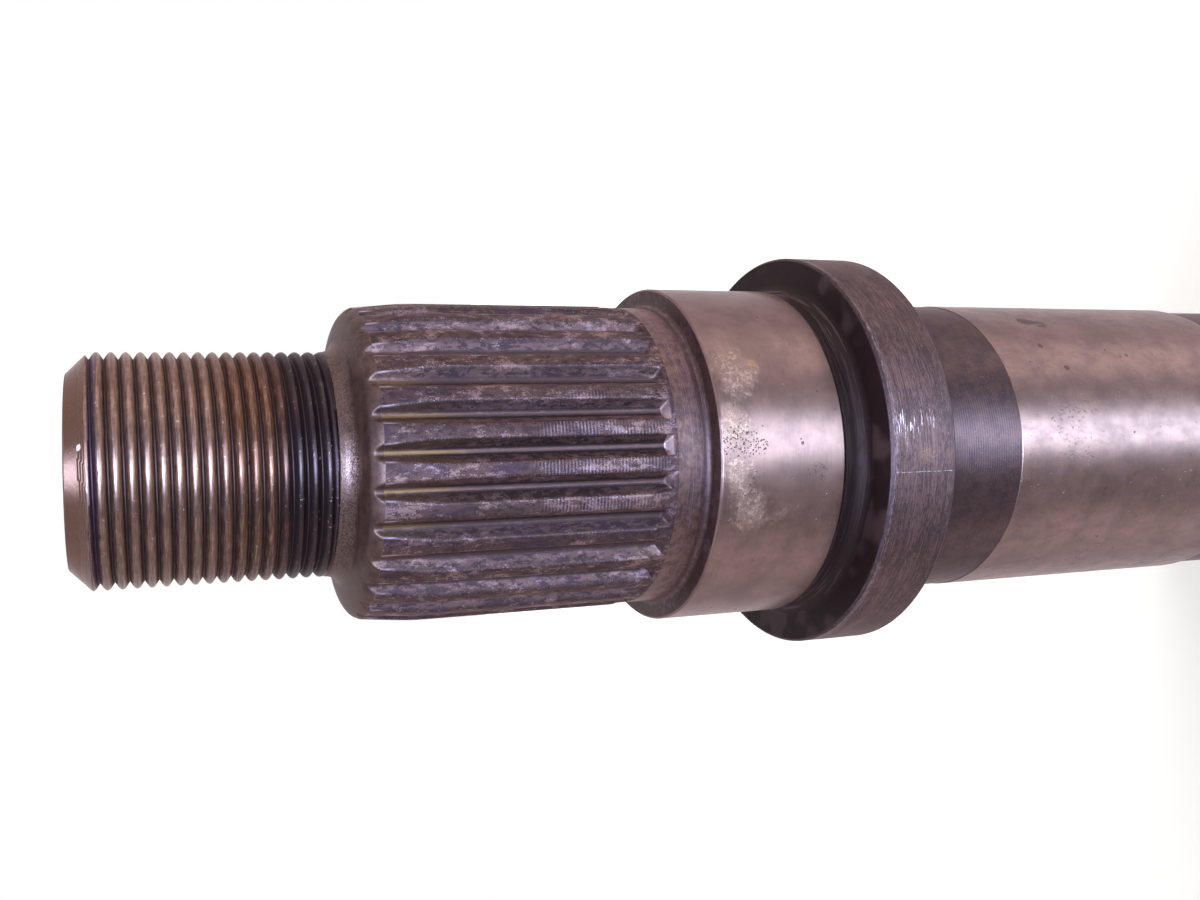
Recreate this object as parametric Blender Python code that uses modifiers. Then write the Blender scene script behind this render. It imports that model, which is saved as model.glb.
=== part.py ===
"""Differential output shaft, turned, splined and ground from one steel forging.

All lengths are in metres. The shaft stands on its inner end, with that end face on z = 0,
its axis on +Z and the threaded end up. Sections are named from the inner end to the thread.
"""

import math

import bmesh
import bpy
from mathutils import Matrix, Vector

MM = 0.001

# Lengths of the sections, stacked from the inner end up to the threaded end
INNER_SHANK_LENGTH = 24.0 * MM
JOURNAL_TAPER_LENGTH = 1.6 * MM
JOURNAL_LENGTH = 47.7 * MM
BLACK_BAND_LENGTH = 17.9 * MM
COLLAR_WIDTH = 10.8 * MM
GRINDING_RELIEF_WIDTH = 3.85 * MM
SEAT_LENGTH = 19.15 * MM
TURNED_BAND_LENGTH = 6.8 * MM
SPLINE_LAND_LENGTH = 30.7 * MM
SPLINE_LEAD_LENGTH = 7.1 * MM
SPLINE_NOSE_LENGTH = 2.1 * MM
NECK_LENGTH = 2.6 * MM
THREAD_LENGTH = 32.2 * MM

# Diameters, and the radial steps between neighbouring sections
THREAD_DIAMETER = 31.0 * MM
JOURNAL_DIAMETER = 46.3 * MM
SEAT_ABOVE_SPLINE = 2.65 * MM
COLLAR_ABOVE_SEAT = 5.2 * MM
TURNED_BAND_BELOW_SPLINE = 0.2 * MM
RELIEF_BELOW_SEAT = 0.5 * MM
BLACK_BAND_BELOW_JOURNAL = 0.1 * MM
SHANK_BELOW_JOURNAL = 0.45 * MM
LEAD_BELOW_SPLINE = 0.7 * MM
NECK_ABOVE_THREAD = 0.06 * MM

# Involute spline
SPLINE_TEETH = 28
SPLINE_MODULE = 1.5 * MM
PRESSURE_ANGLE = math.radians(30.0)
TIP_ABOVE_REFERENCE = 1.35 * MM
TOOTH_DEPTH = 1.6 * MM
SPACE_WIDTH = 1.31 * MM
SPACE_END_ANGLE = math.radians(52.0)
SPACE_END_IN_BAND = 1.5 * MM
FLANK_POINTS = 4
CUTTER_CLEARANCE = 0.6 * MM

# Thread, right-handed, 14 turns to the inch
THREAD_PITCH = 25.4 * MM / 14
THREAD_DEPTH = 0.95 * MM
CREST_SHARE = 0.14
THREAD_STEPS = SPLINE_TEETH
THREAD_START_ANGLE = math.radians(194.6)

# Chamfers and fillets
THREAD_CHAMFER = 2.8 * MM
NECK_FILLET = 2.2 * MM
SPLINE_NOSE_ROUND = 2.9 * MM
NOSE_ARC = (70.0, 25.0)
SHOULDER_FILLET = 0.8 * MM
SEAT_CHAMFER = 0.3 * MM
RELIEF_FILLET = 2.1 * MM
COLLAR_OUTER_CHAMFER = 0.4 * MM
COLLAR_INNER_CHAMFER = 0.4 * MM
COLLAR_BACK_FILLET = 2.0 * MM
INNER_END_CHAMFER = 2.0 * MM
CHAMFER_SHARE_OF_STEP = 0.6
FILLET_SEGMENTS = 4

# Centre holes for the lathe and the grinder, one in each end
CENTRE_MOUTH_DIAMETER = 8.5 * MM
CENTRE_PILOT_DIAMETER = 4.0 * MM
CENTRE_PILOT_LENGTH = 4.0 * MM
CENTRE_CONE_ANGLE = math.radians(60.0)
CENTRE_DRILL_POINT_ANGLE = math.radians(118.0)

# Facets
TURNED_STEPS = 3 * SPLINE_TEETH
AXIS_MERGE = 0.00001
SMOOTH_ANGLE = math.radians(30.0)

# Heights of the section boundaries
JOURNAL_TAPER_FOOT = INNER_SHANK_LENGTH
JOURNAL_FOOT = JOURNAL_TAPER_FOOT + JOURNAL_TAPER_LENGTH
BLACK_BAND_FOOT = JOURNAL_FOOT + JOURNAL_LENGTH
COLLAR_FOOT = BLACK_BAND_FOOT + BLACK_BAND_LENGTH
COLLAR_FACE = COLLAR_FOOT + COLLAR_WIDTH
SEAT_FOOT = COLLAR_FACE + GRINDING_RELIEF_WIDTH
SEAT_SHOULDER = SEAT_FOOT + SEAT_LENGTH
SPLINE_FOOT = SEAT_SHOULDER + TURNED_BAND_LENGTH
SPLINE_LEAD_FOOT = SPLINE_FOOT + SPLINE_LAND_LENGTH
SPLINE_NOSE_FOOT = SPLINE_LEAD_FOOT + SPLINE_LEAD_LENGTH
NECK_FACE = SPLINE_NOSE_FOOT + SPLINE_NOSE_LENGTH
THREAD_FOOT = NECK_FACE + NECK_LENGTH
THREADED_END = THREAD_FOOT + THREAD_LENGTH

# Radii of the sections
REFERENCE_RADIUS = SPLINE_TEETH * SPLINE_MODULE / 2
BASE_RADIUS = REFERENCE_RADIUS * math.cos(PRESSURE_ANGLE)
TIP_RADIUS = REFERENCE_RADIUS + TIP_ABOVE_REFERENCE
ROOT_RADIUS = TIP_RADIUS - TOOTH_DEPTH
TURNED_BAND_RADIUS = TIP_RADIUS - TURNED_BAND_BELOW_SPLINE
SEAT_RADIUS = TIP_RADIUS + SEAT_ABOVE_SPLINE
RELIEF_RADIUS = SEAT_RADIUS - RELIEF_BELOW_SEAT
COLLAR_RADIUS = SEAT_RADIUS + COLLAR_ABOVE_SEAT
JOURNAL_RADIUS = JOURNAL_DIAMETER / 2
BLACK_BAND_RADIUS = JOURNAL_RADIUS - BLACK_BAND_BELOW_JOURNAL
SHANK_RADIUS = JOURNAL_RADIUS - SHANK_BELOW_JOURNAL
THREAD_RADIUS = THREAD_DIAMETER / 2
NECK_RADIUS = THREAD_RADIUS + NECK_ABOVE_THREAD


def new_collection(name):
    """A collection of that name under the scene."""
    collection = bpy.data.collections.new(name)
    bpy.context.scene.collection.children.link(collection)
    return collection


def machined_steel():
    """Bare machined steel, brown-grey with a thin film of old oil."""
    material = bpy.data.materials.new("machined_steel")
    material.use_nodes = True
    shader = material.node_tree.nodes["Principled BSDF"]
    shader.inputs["Base Color"].default_value = (0.27, 0.20, 0.19, 1.0)
    shader.inputs["Metallic"].default_value = 0.9
    shader.inputs["Roughness"].default_value = 0.42
    return material


def fillet(centre_radius, centre_height, radius, start, end):
    """Points on a quarter round of the profile, between two angles in degrees."""
    turns = [math.radians(start + (end - start) * i / FILLET_SEGMENTS) for i in range(FILLET_SEGMENTS + 1)]
    return [(centre_radius + radius * math.cos(t), centre_height + radius * math.sin(t)) for t in turns]


def centre_hole(face_height, into):
    """Profile of a centre hole from the axis out to its mouth; into is -1 for down and +1 for up."""
    pilot = CENTRE_PILOT_DIAMETER / 2
    mouth = CENTRE_MOUTH_DIAMETER / 2
    cone = (mouth - pilot) / math.tan(CENTRE_CONE_ANGLE / 2)
    point = pilot / math.tan(CENTRE_DRILL_POINT_ANGLE / 2)
    depths = [cone + CENTRE_PILOT_LENGTH + point, cone + CENTRE_PILOT_LENGTH, cone, 0.0]
    radii = [0.0, pilot, pilot, mouth]
    return [(radius, face_height + into * depth) for radius, depth in zip(radii, depths)]


def neck_profile():
    """The plain neck below the thread, its fillet, and the spline's round nose and tapered lead."""
    lead_radius = TIP_RADIUS - LEAD_BELOW_SPLINE
    nose = min(SPLINE_NOSE_ROUND, CHAMFER_SHARE_OF_STEP * (lead_radius - NECK_RADIUS))
    nose_end = math.radians(NOSE_ARC[1])
    nose_centre = (lead_radius - nose * math.cos(nose_end), SPLINE_NOSE_FOOT - nose * math.sin(nose_end))
    round_radius = min(NECK_FILLET, nose_centre[0] - NECK_RADIUS, NECK_LENGTH)
    points = [(0.0, THREAD_FOOT), (NECK_RADIUS, THREAD_FOOT)]
    points += fillet(NECK_RADIUS + round_radius, NECK_FACE + round_radius, round_radius, 180.0, 270.0)
    points += fillet(*nose_centre, nose, *NOSE_ARC)
    points += [(TIP_RADIUS, SPLINE_LEAD_FOOT)]
    return points


def seat_profile():
    """Spline lands, the turned band below them, the seat's shoulder and the ground seat."""
    round_radius = min(SHOULDER_FILLET, SEAT_ABOVE_SPLINE / 2)
    points = [(TIP_RADIUS, SPLINE_FOOT + TURNED_BAND_BELOW_SPLINE), (TURNED_BAND_RADIUS, SPLINE_FOOT)]
    centre = (TURNED_BAND_RADIUS + round_radius, SEAT_SHOULDER + round_radius)
    points += fillet(*centre, round_radius, 180.0, 270.0)
    points += [(SEAT_RADIUS - SEAT_CHAMFER, SEAT_SHOULDER), (SEAT_RADIUS, SEAT_SHOULDER - SEAT_CHAMFER)]
    points += [(SEAT_RADIUS, SEAT_FOOT), (RELIEF_RADIUS, SEAT_FOOT - RELIEF_BELOW_SEAT)]
    return points


def collar_profile():
    """Fillet of the grinding relief, the collar, and the fillet behind it down to the black band."""
    room = GRINDING_RELIEF_WIDTH - RELIEF_BELOW_SEAT
    front = min(RELIEF_FILLET, CHAMFER_SHARE_OF_STEP * room, COLLAR_ABOVE_SEAT / 2)
    points = fillet(RELIEF_RADIUS + front, COLLAR_FACE + front, front, 180.0, 270.0)
    points += [(COLLAR_RADIUS - COLLAR_OUTER_CHAMFER, COLLAR_FACE)]
    points += [(COLLAR_RADIUS, COLLAR_FACE - COLLAR_OUTER_CHAMFER)]
    points += [(COLLAR_RADIUS, COLLAR_FOOT + COLLAR_INNER_CHAMFER)]
    points += [(COLLAR_RADIUS - COLLAR_INNER_CHAMFER, COLLAR_FOOT)]
    back = min(COLLAR_BACK_FILLET, CHAMFER_SHARE_OF_STEP * (COLLAR_RADIUS - BLACK_BAND_RADIUS))
    points += fillet(BLACK_BAND_RADIUS + back, COLLAR_FOOT - back, back, 90.0, 180.0)
    return points


def journal_profile():
    """Black band, ground journal, its lead-in taper and the plain inner shank."""
    return [
        (BLACK_BAND_RADIUS, BLACK_BAND_FOOT + BLACK_BAND_BELOW_JOURNAL),
        (JOURNAL_RADIUS, BLACK_BAND_FOOT),
        (JOURNAL_RADIUS, JOURNAL_FOOT),
        (SHANK_RADIUS, JOURNAL_TAPER_FOOT),
        (SHANK_RADIUS, INNER_END_CHAMFER),
        (SHANK_RADIUS - INNER_END_CHAMFER, 0.0),
    ]


def turned(name, profile, steps, collection):
    """A turned solid: a profile that starts and ends on the axis, turned about Z."""
    mesh = bpy.data.meshes.new(name)
    edges = [(i, i + 1) for i in range(len(profile) - 1)]
    mesh.from_pydata([(radius, 0.0, height) for radius, height in profile], edges, [])
    solid = bpy.data.objects.new(name, mesh)
    collection.objects.link(solid)
    screw = solid.modifiers.new("turning", "SCREW")
    screw.axis = "Z"
    screw.angle = math.tau
    screw.steps = steps
    screw.render_steps = steps
    screw.use_merge_vertices = True
    screw.merge_threshold = AXIS_MERGE
    screw.use_smooth_shade = True
    return solid


def turned_blank(collection):
    """The shaft without its thread and tooth spaces, from the neck down to the inner end."""
    profile = neck_profile() + seat_profile() + collar_profile() + journal_profile()
    return turned("output_shaft", profile + centre_hole(0.0, 1)[::-1], TURNED_STEPS, collection)


def as_tool(tool):
    """Marks an object as one that only cuts or adds to the shaft."""
    tool.hide_render = True
    tool.display_type = "WIRE"
    return tool


def end_facing(collection):
    """What the lathe takes off the threaded end: all beyond its face and chamfer, and the centre hole."""
    beyond = THREADED_END + 3 * THREAD_PITCH
    outside = THREAD_RADIUS + CUTTER_CLEARANCE
    profile = [(0.0, beyond), (outside, beyond)]
    profile += [(outside, THREADED_END - THREAD_CHAMFER - CUTTER_CLEARANCE)]
    profile += [(THREAD_RADIUS - THREAD_CHAMFER, THREADED_END)]
    profile += centre_hole(THREADED_END, -1)[::-1]
    return as_tool(turned("end_facing", profile, THREAD_STEPS, collection))


def thread_bar(collection):
    """The thread as one closed bar: a pitch of its profile, swept up a right-hand helix.

    It starts inside the neck and ends past the end face, and both ends close onto the axis.
    """
    turns = math.ceil(THREAD_LENGTH / THREAD_PITCH) + 2
    start = THREAD_FOOT - THREAD_PITCH
    root = THREAD_RADIUS - THREAD_DEPTH
    half_pitch = THREAD_PITCH / 2
    half_crest = half_pitch * CREST_SHARE
    bar = bmesh.new()
    outline = [(root, -half_pitch), (THREAD_RADIUS, -half_crest), (THREAD_RADIUS, half_crest)]
    outline += [(root, half_pitch)]
    corners = [bar.verts.new((radius, 0.0, start + rise)) for radius, rise in outline]
    edges = [bar.edges.new(pair) for pair in zip(corners, corners[1:])]
    climb = Vector((0.0, 0.0, THREAD_PITCH / THREAD_STEPS))
    sweep = {"axis": (0.0, 0.0, 1.0), "angle": math.tau * turns, "steps": THREAD_STEPS * turns}
    bmesh.ops.spin(bar, geom=corners + edges, cent=(0.0, 0.0, 0.0), dvec=climb, **sweep)
    bmesh.ops.remove_doubles(bar, verts=bar.verts[:], dist=AXIS_MERGE)
    rims = [edge for edge in bar.edges if edge.is_boundary]
    top = start + THREAD_PITCH * turns
    for item in bmesh.ops.extrude_edge_only(bar, edges=rims)["geom"]:
        if isinstance(item, bmesh.types.BMVert):
            item.co = (0.0, 0.0, start if item.co.z < (start + top) / 2 else top)
    bmesh.ops.remove_doubles(bar, verts=bar.verts[:], dist=AXIS_MERGE)
    bmesh.ops.recalc_face_normals(bar, faces=bar.faces[:])
    bmesh.ops.rotate(bar, verts=bar.verts[:], matrix=Matrix.Rotation(THREAD_START_ANGLE, 3, "Z"))
    mesh = bpy.data.meshes.new("thread_bar")
    bar.to_mesh(mesh)
    bar.free()
    thread = bpy.data.objects.new("thread_bar", mesh)
    collection.objects.link(thread)
    return as_tool(thread)


def involute(angle):
    """The involute function of a pressure angle, tan(a) - a."""
    return math.tan(angle) - angle


def space_half_angle(radius):
    """Half the angle that the space between two teeth spans at a radius."""
    at_reference = SPACE_WIDTH / (2 * REFERENCE_RADIUS)
    pressure = math.acos(min(1.0, BASE_RADIUS / radius))
    return at_reference - involute(PRESSURE_ANGLE) + involute(pressure)


def space_section():
    """Outline of one tooth space, centred on +X: the root, and an involute flank on each side."""
    top = TIP_RADIUS + CUTTER_CLEARANCE
    rise = [(top - ROOT_RADIUS) * i / FLANK_POINTS for i in range(FLANK_POINTS + 1)]
    flank = [(ROOT_RADIUS + r, space_half_angle(ROOT_RADIUS + r)) for r in rise]
    side = [Vector((radius * math.cos(a), radius * math.sin(a), 0.0)) for radius, a in flank]
    other = [Vector((p.x, -p.y, 0.0)) for p in reversed(side)]
    return side + other


def space_cutters(collection):
    """All tooth spaces: each is a straight prism that stops in the turned band at a sloping end."""
    slope = 1 / math.tan(SPACE_END_ANGLE)
    start_height = NECK_FACE + CUTTER_CLEARANCE
    end_height = SPLINE_FOOT - SPACE_END_IN_BAND
    cutter = bmesh.new()
    top = [cutter.verts.new(p + Vector((0.0, 0.0, start_height))) for p in space_section()]
    made = bmesh.ops.extrude_face_region(cutter, geom=[cutter.faces.new(top)], use_keep_orig=True)
    for item in made["geom"]:
        if isinstance(item, bmesh.types.BMVert):
            item.co.z = end_height + (TURNED_BAND_RADIUS - item.co.x) * slope
    first = cutter.verts[:] + cutter.edges[:] + cutter.faces[:]
    for tooth in range(1, SPLINE_TEETH):
        copy = bmesh.ops.duplicate(cutter, geom=first)["geom"]
        moved = [item for item in copy if isinstance(item, bmesh.types.BMVert)]
        turn = Matrix.Rotation(math.tau * tooth / SPLINE_TEETH, 3, "Z")
        bmesh.ops.rotate(cutter, verts=moved, cent=(0.0, 0.0, 0.0), matrix=turn)
    bmesh.ops.recalc_face_normals(cutter, faces=cutter.faces[:])
    mesh = bpy.data.meshes.new("tooth_spaces")
    cutter.to_mesh(mesh)
    cutter.free()
    spaces = bpy.data.objects.new("tooth_spaces", mesh)
    collection.objects.link(spaces)
    return as_tool(spaces)


def machine(shaft, operation, tool):
    """Adds a tool's shape to the shaft, or takes it away."""
    step = shaft.modifiers.new(tool.name, "BOOLEAN")
    step.operation = operation
    step.solver = "EXACT"
    step.object = tool


def finish(shaft):
    """Keeps the machined result as the shaft's own mesh, shaded smooth up to its edges."""
    bpy.context.view_layer.update()
    evaluated = shaft.evaluated_get(bpy.context.evaluated_depsgraph_get())
    finished = bpy.data.meshes.new_from_object(evaluated)
    shaft.modifiers.clear()
    shaft.data = finished
    finished.name = shaft.name
    finished.shade_smooth()
    finished.set_sharp_from_angle(angle=SMOOTH_ANGLE)
    finished.materials.clear()
    finished.materials.append(machined_steel())


def main():
    """Clears the scene and builds the shaft."""
    for leftover in list(bpy.data.objects):
        bpy.data.objects.remove(leftover)
    parts = new_collection("differential_output_shaft")
    tools = new_collection("tools")
    tools.hide_render = True
    shaft = turned_blank(parts)
    machine(shaft, "UNION", thread_bar(tools))
    machine(shaft, "DIFFERENCE", end_facing(tools))
    machine(shaft, "DIFFERENCE", space_cutters(tools))
    finish(shaft)


main()
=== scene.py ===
# Looks of a differential output shaft: its nut thread, spline, ground seats and worn steel.
#
# Lengths are in metres. The shaft stands on its inner end, axis on +Z and thread up, as the
# solid does. The photo's camera lies on its side, so that the shaft runs level in the picture.

import math

import bpy
import numpy as np
from mathutils import Matrix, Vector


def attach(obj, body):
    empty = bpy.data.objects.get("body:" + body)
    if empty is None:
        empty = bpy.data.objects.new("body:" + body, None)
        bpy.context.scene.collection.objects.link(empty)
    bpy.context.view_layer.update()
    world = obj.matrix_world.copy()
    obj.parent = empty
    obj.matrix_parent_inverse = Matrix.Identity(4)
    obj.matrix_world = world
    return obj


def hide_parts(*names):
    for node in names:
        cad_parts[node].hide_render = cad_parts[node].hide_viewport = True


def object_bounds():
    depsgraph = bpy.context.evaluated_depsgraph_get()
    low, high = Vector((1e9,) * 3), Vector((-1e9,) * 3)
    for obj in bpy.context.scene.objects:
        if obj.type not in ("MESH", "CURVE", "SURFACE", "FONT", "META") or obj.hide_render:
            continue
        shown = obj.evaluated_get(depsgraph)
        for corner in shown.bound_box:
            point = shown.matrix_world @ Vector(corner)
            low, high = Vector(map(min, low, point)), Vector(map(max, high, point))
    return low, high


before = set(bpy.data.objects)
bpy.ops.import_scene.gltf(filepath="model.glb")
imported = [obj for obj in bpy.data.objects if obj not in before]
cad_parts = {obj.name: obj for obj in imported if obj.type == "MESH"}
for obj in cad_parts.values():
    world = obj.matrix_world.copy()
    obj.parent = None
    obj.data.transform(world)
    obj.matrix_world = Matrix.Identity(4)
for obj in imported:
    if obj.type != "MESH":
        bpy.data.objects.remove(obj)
CAD_LOW, CAD_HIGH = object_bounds()

MM = 0.001
TAU = math.tau
NODE = "output_shaft"

# Spline
TEETH = 28
MODULE = 1.5 * MM
PRESSURE_ANGLE = math.radians(30.0)
SPACE_WIDTH = 1.31 * MM
REFERENCE_RADIUS = TEETH * MODULE / 2
BASE_RADIUS = REFERENCE_RADIUS * math.cos(PRESSURE_ANGLE)
TIP_RADIUS = REFERENCE_RADIUS + 1.35 * MM
TOOTH_DEPTH = 1.6 * MM
ROOT_RADIUS = TIP_RADIUS - TOOTH_DEPTH
ROOT_ROUNDING = 0.30 * MM
ROOT_HOLLOW = 0.45 * MM
ROOT_SHIFT = 0.07 * MM
LAND_ROUNDING = 0.16 * MM
END_ROUNDING = 0.12 * MM
SPACE_END = 130.3 * MM
SPACE_END_ANGLE = math.radians(52.0)

# Thread. Its form is given in shares of the pitch from the crest, and of the depth.
CREST_RADIUS = 15.5 * MM
THREAD_PITCH = 25.4 * MM / 14
THREAD_DEPTH = 0.98 * MM
CREST_HALF_WIDTH = 0.15
ROOT_START = 0.48
CREST_ROUNDING = 0.34
ROOT_CREASE = 0.02
CHAMFER_CREASE = 0.02 * MM
THREAD_PHASE_HEIGHT = 202.76 * MM
THREAD_PHASE_ANGLE = math.radians(84.4)
THREAD_FADE = (173.4 * MM, 175.4 * MM)
THREAD_CHAMFER = 2.8 * MM
ROWS_A_PITCH = 12

# Heights of the section boundaries
THREADED_END = CAD_HIGH.z
THREAD_TOP = THREADED_END - 1.6 * MM
NECK_FACE = 171.7 * MM
NOSE_FOOT = 169.6 * MM
LEAD_FOOT = 162.5 * MM
SPLINE_FOOT = 131.8 * MM
SHOULDER = 125.0 * MM
SEAT_FOOT = 105.85 * MM
COLLAR_FACE = 102.0 * MM
COLLAR_BACK = 91.2 * MM
BAND_FOOT = 73.3 * MM
JOURNAL_FOOT = 25.6 * MM
TAPER_FOOT = 24.0 * MM

# Radii of the sections
COLLAR_RADIUS = CAD_HIGH.x
SEAT_RADIUS = 25.0 * MM
RELIEF_RADIUS = 24.5 * MM
TURNED_BAND_RADIUS = 22.15 * MM
JOURNAL_RADIUS = 23.15 * MM
BLACK_BAND_RADIUS = 23.05 * MM
SHANK_RADIUS = 22.7 * MM
LEAD_RADIUS = TIP_RADIUS - 0.7 * MM

# Fillets and chamfers. The nose is a round between two angles from the level, in degrees.
NECK_FILLET = 2.2 * MM
NECK_BREAK = 0.26 * MM
NOSE_ROUND = 2.9 * MM
NOSE_TOP = 70.0
NOSE_END = 25.0
SPLINE_FOOT_CHAMFER = 0.6 * MM
SHOULDER_FILLET = 0.8 * MM
SEAT_CHAMFER = 0.3 * MM
RELIEF_STEP = 0.5 * MM
RELIEF_FILLET = 1.95 * MM
COLLAR_CHAMFER = 0.4 * MM
COLLAR_FILLET = 2.0 * MM
BAND_STEP = 0.1 * MM
INNER_CHAMFER = 2.0 * MM

# Centre holes, as radii and depths: a 60 degree cone, a drilled length and the drill's tip
CENTRE_MOUTH = 4.25 * MM
CENTRE_PILOT = 2.0 * MM
CENTRE_CONE = (CENTRE_MOUTH - CENTRE_PILOT) / math.tan(math.radians(30.0))
CENTRE_DRILLED = 4.0 * MM
CENTRE_TIP = CENTRE_PILOT / math.tan(math.radians(59.0))
POLE_RADIUS = 0.05 * MM

# Grid of the visible surface. Plain rings have every fourth of the toothed rings' columns, and the
# toothed rings lie above this height and outside this radius.
TOOTH_COLUMNS = 32
PLAIN_SKIP = 4
THREAD_COLUMNS = 288
EDGE_SUPPORT = 0.08 * MM
TOOTHED_RADIUS = ROOT_RADIUS - 1.5 * MM
TOOTHED_FOOT = SPACE_END - 0.5 * MM

# Camera, from a perspective fit of the photo's coaxial circles, crests and tooth spaces
PHOTO_WIDTH = 1200
PHOTO_HEIGHT = 900
FOCAL_PIXELS = 1139.7
CENTRE_X = 528.6
CENTRE_Y = 427.8
CAMERA_DISTANCE = 158.85 * MM
CAMERA_HEIGHT = 199.17 * MM
CAMERA_AZIMUTH = math.radians(-2.83)
CAMERA_YAW = 0.33903
CAMERA_PITCH = -0.02598
CAMERA_ROLL = 0.03184
SENSOR_WIDTH = 36.0

# Floor. Its glow grows from this share of white round the foot to full white near its edge.
FLOOR_HALF = 0.5
FLOOR_SINK = 0.2 * MM
FLOOR_GLOW = 0.48

# Steel
EDGE_TINT = (0.6, 0.48, 0.52, 1.0)
FILM_ROUGHNESS = 0.3

# Light. A lamp is a name, its angle, lift and half angle in degrees, the height it faces, its length,
# its radiance, its colour, and whether the steel mirrors it.
SOFT_LIGHT = 0.25
LAMP_DISTANCE = 0.6
COOL = (0.65, 0.85, 1.0)
VIOLET = (0.55, 0.72, 1.0)
WARM = (1.0, 0.95, 0.88)
LAMPS = (
    ("key", 6.9, 0.0, 13.0, -0.625, 1.35, 17.5, COOL, True),
    ("key_thread", -3.5, 0.0, 7.5, 0.61, 0.98, 78.0, VIOLET, True),
    ("key_above", -90.0, 89.6, 4.0, -0.1, 0.07, 26.0, VIOLET, True),
    ("sheen_top", 68.0, 0.0, 16.0, -0.1, 2.4, 2.0, WARM, True),
    ("sheen_low", -76.0, 0.0, 16.0, -0.1, 2.4, 0.8, WARM, True),
    ("fill_top", 95.0, 0.0, 18.0, -0.1, 2.4, 7.0, WARM, False),
    ("fill_low", -97.0, 0.0, 18.0, -0.1, 2.4, 4.4, WARM, False),
)


def smooth_low(a, b, width):
    """The lower of two surfaces, with a rounded crease: (a + b - sqrt((a - b)^2 + width^2)) / 2."""
    return (a + b - np.sqrt((a - b) ** 2 + width**2)) / 2


def smooth_high(a, b, width):
    """The higher of two surfaces, with a rounded crease: (a + b + sqrt((a - b)^2 + width^2)) / 2."""
    return (a + b + np.sqrt((a - b) ** 2 + width**2)) / 2


def softened(corners, breaks, steps=3):
    """A profile with each corner replaced by a parabola between points a short way before and after it.

    The point at t is (1 - t)^2 before + 2 t (1 - t) corner + t^2 after. A support point on
    each side of it keeps the shading of the straight stretches flat.
    """
    ahead = np.diff(corners, axis=0)
    lengths = np.linalg.norm(ahead, axis=1, keepdims=True)
    ahead /= lengths
    room = np.minimum(lengths[:-1], lengths[1:]) * 0.45
    back = np.minimum(np.asarray(breaks)[1:-1, None], room)
    before = corners[1:-1] - ahead[:-1] * back
    after = corners[1:-1] + ahead[1:] * back
    t = np.linspace(0, 1, steps + 1)[None, :, None]
    arcs = (1 - t) ** 2 * before[:, None] + 2 * t * (1 - t) * corners[1:-1, None] + t**2 * after[:, None]
    reach = np.minimum(EDGE_SUPPORT, room * 0.2)
    first = (before - ahead[:-1] * reach)[:, None]
    last = (after + ahead[1:] * reach)[:, None]
    return np.concatenate([first, arcs, last], axis=1)


def profile_rows(sections):
    """Rows of a turned profile, and each row strip's finish.

    A section is (radius, height, edge break, row spacing, finish), for a corner of the profile
    and the stretch that follows it. Stretches are filled with evenly spaced rows, and a corner
    without a break is one row.
    """
    corners = np.array([(s[0], s[1]) for s in sections], float)
    bends = softened(corners, [s[2] for s in sections])
    rows, finishes = [corners[:1]], []
    for i, (_, _, _, spacing, finish) in enumerate(sections[:-1]):
        start = rows[-1][-1]
        bend = bends[i] if sections[i + 1][2] else corners[i + 1 : i + 2]
        gap = bend[0] - start
        count = max(1, int(np.ceil(np.linalg.norm(gap) / spacing)))
        share = np.arange(1, count + 1)[:, None] / count
        rows.append(np.concatenate([start + gap * share, bend[1:]]))
        finishes += [finish] * len(rows[-1])
    return np.concatenate(rows), finishes


def edge_amount(points):
    """How far each grid point stands out from the mean of its four neighbours, in metres.

    It is above zero on a convex edge and below zero in a hollow.
    """
    up = np.concatenate([points[:1], points[:-1]])
    down = np.concatenate([points[1:], points[-1:]])
    left, right = np.roll(points, 1, axis=1), np.roll(points, -1, axis=1)
    normal = np.cross(right - left, up - down)
    normal /= np.maximum(np.linalg.norm(normal, axis=2, keepdims=True), 1e-12)
    normal *= np.sign((normal[..., :1] * points[..., :1] + normal[..., 1:2] * points[..., 1:2]).mean() or 1)
    return ((points - (up + down + left + right) / 4) * normal).sum(axis=2)


def strips(first, rows, columns):
    """Quads between neighbouring rings of a closed grid whose first vertex has that number."""
    i, j = np.meshgrid(np.arange(rows - 1), np.arange(columns), indexing="ij")
    following = (j + 1) % columns
    top, low = first + i * columns, first + (i + 1) * columns
    return np.stack([top + j, low + j, low + following, top + following], axis=2).reshape(-1, 4)


def helical_strips(first, rows, columns):
    """The same strips as triangles, all split along the diagonal that follows a right-hand helix."""
    quads = strips(first, rows, columns)
    return np.concatenate([quads[:, [0, 1, 3]], quads[:, [1, 2, 3]]])


def halving_strip(fine, coarse, columns):
    """Triangles between a ring of 2n points and the ring of n points below it."""
    j = np.arange(columns)
    following = (j + 1) % columns
    a, b, c = fine + 2 * j, fine + 2 * j + 1, fine + 2 * following
    d, e = coarse + j, coarse + following
    return np.concatenate([np.stack([a, d, b], 1), np.stack([b, d, e], 1), np.stack([b, e, c], 1)])


def cap(ring, pole, columns, facing_up):
    """Triangles from a ring to a point on the axis."""
    j = np.arange(columns)
    a, b = ring + j, ring + (j + 1) % columns
    order = [a, b, np.full(columns, pole)] if facing_up else [b, a, np.full(columns, pole)]
    return np.stack(order, axis=1)


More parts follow.
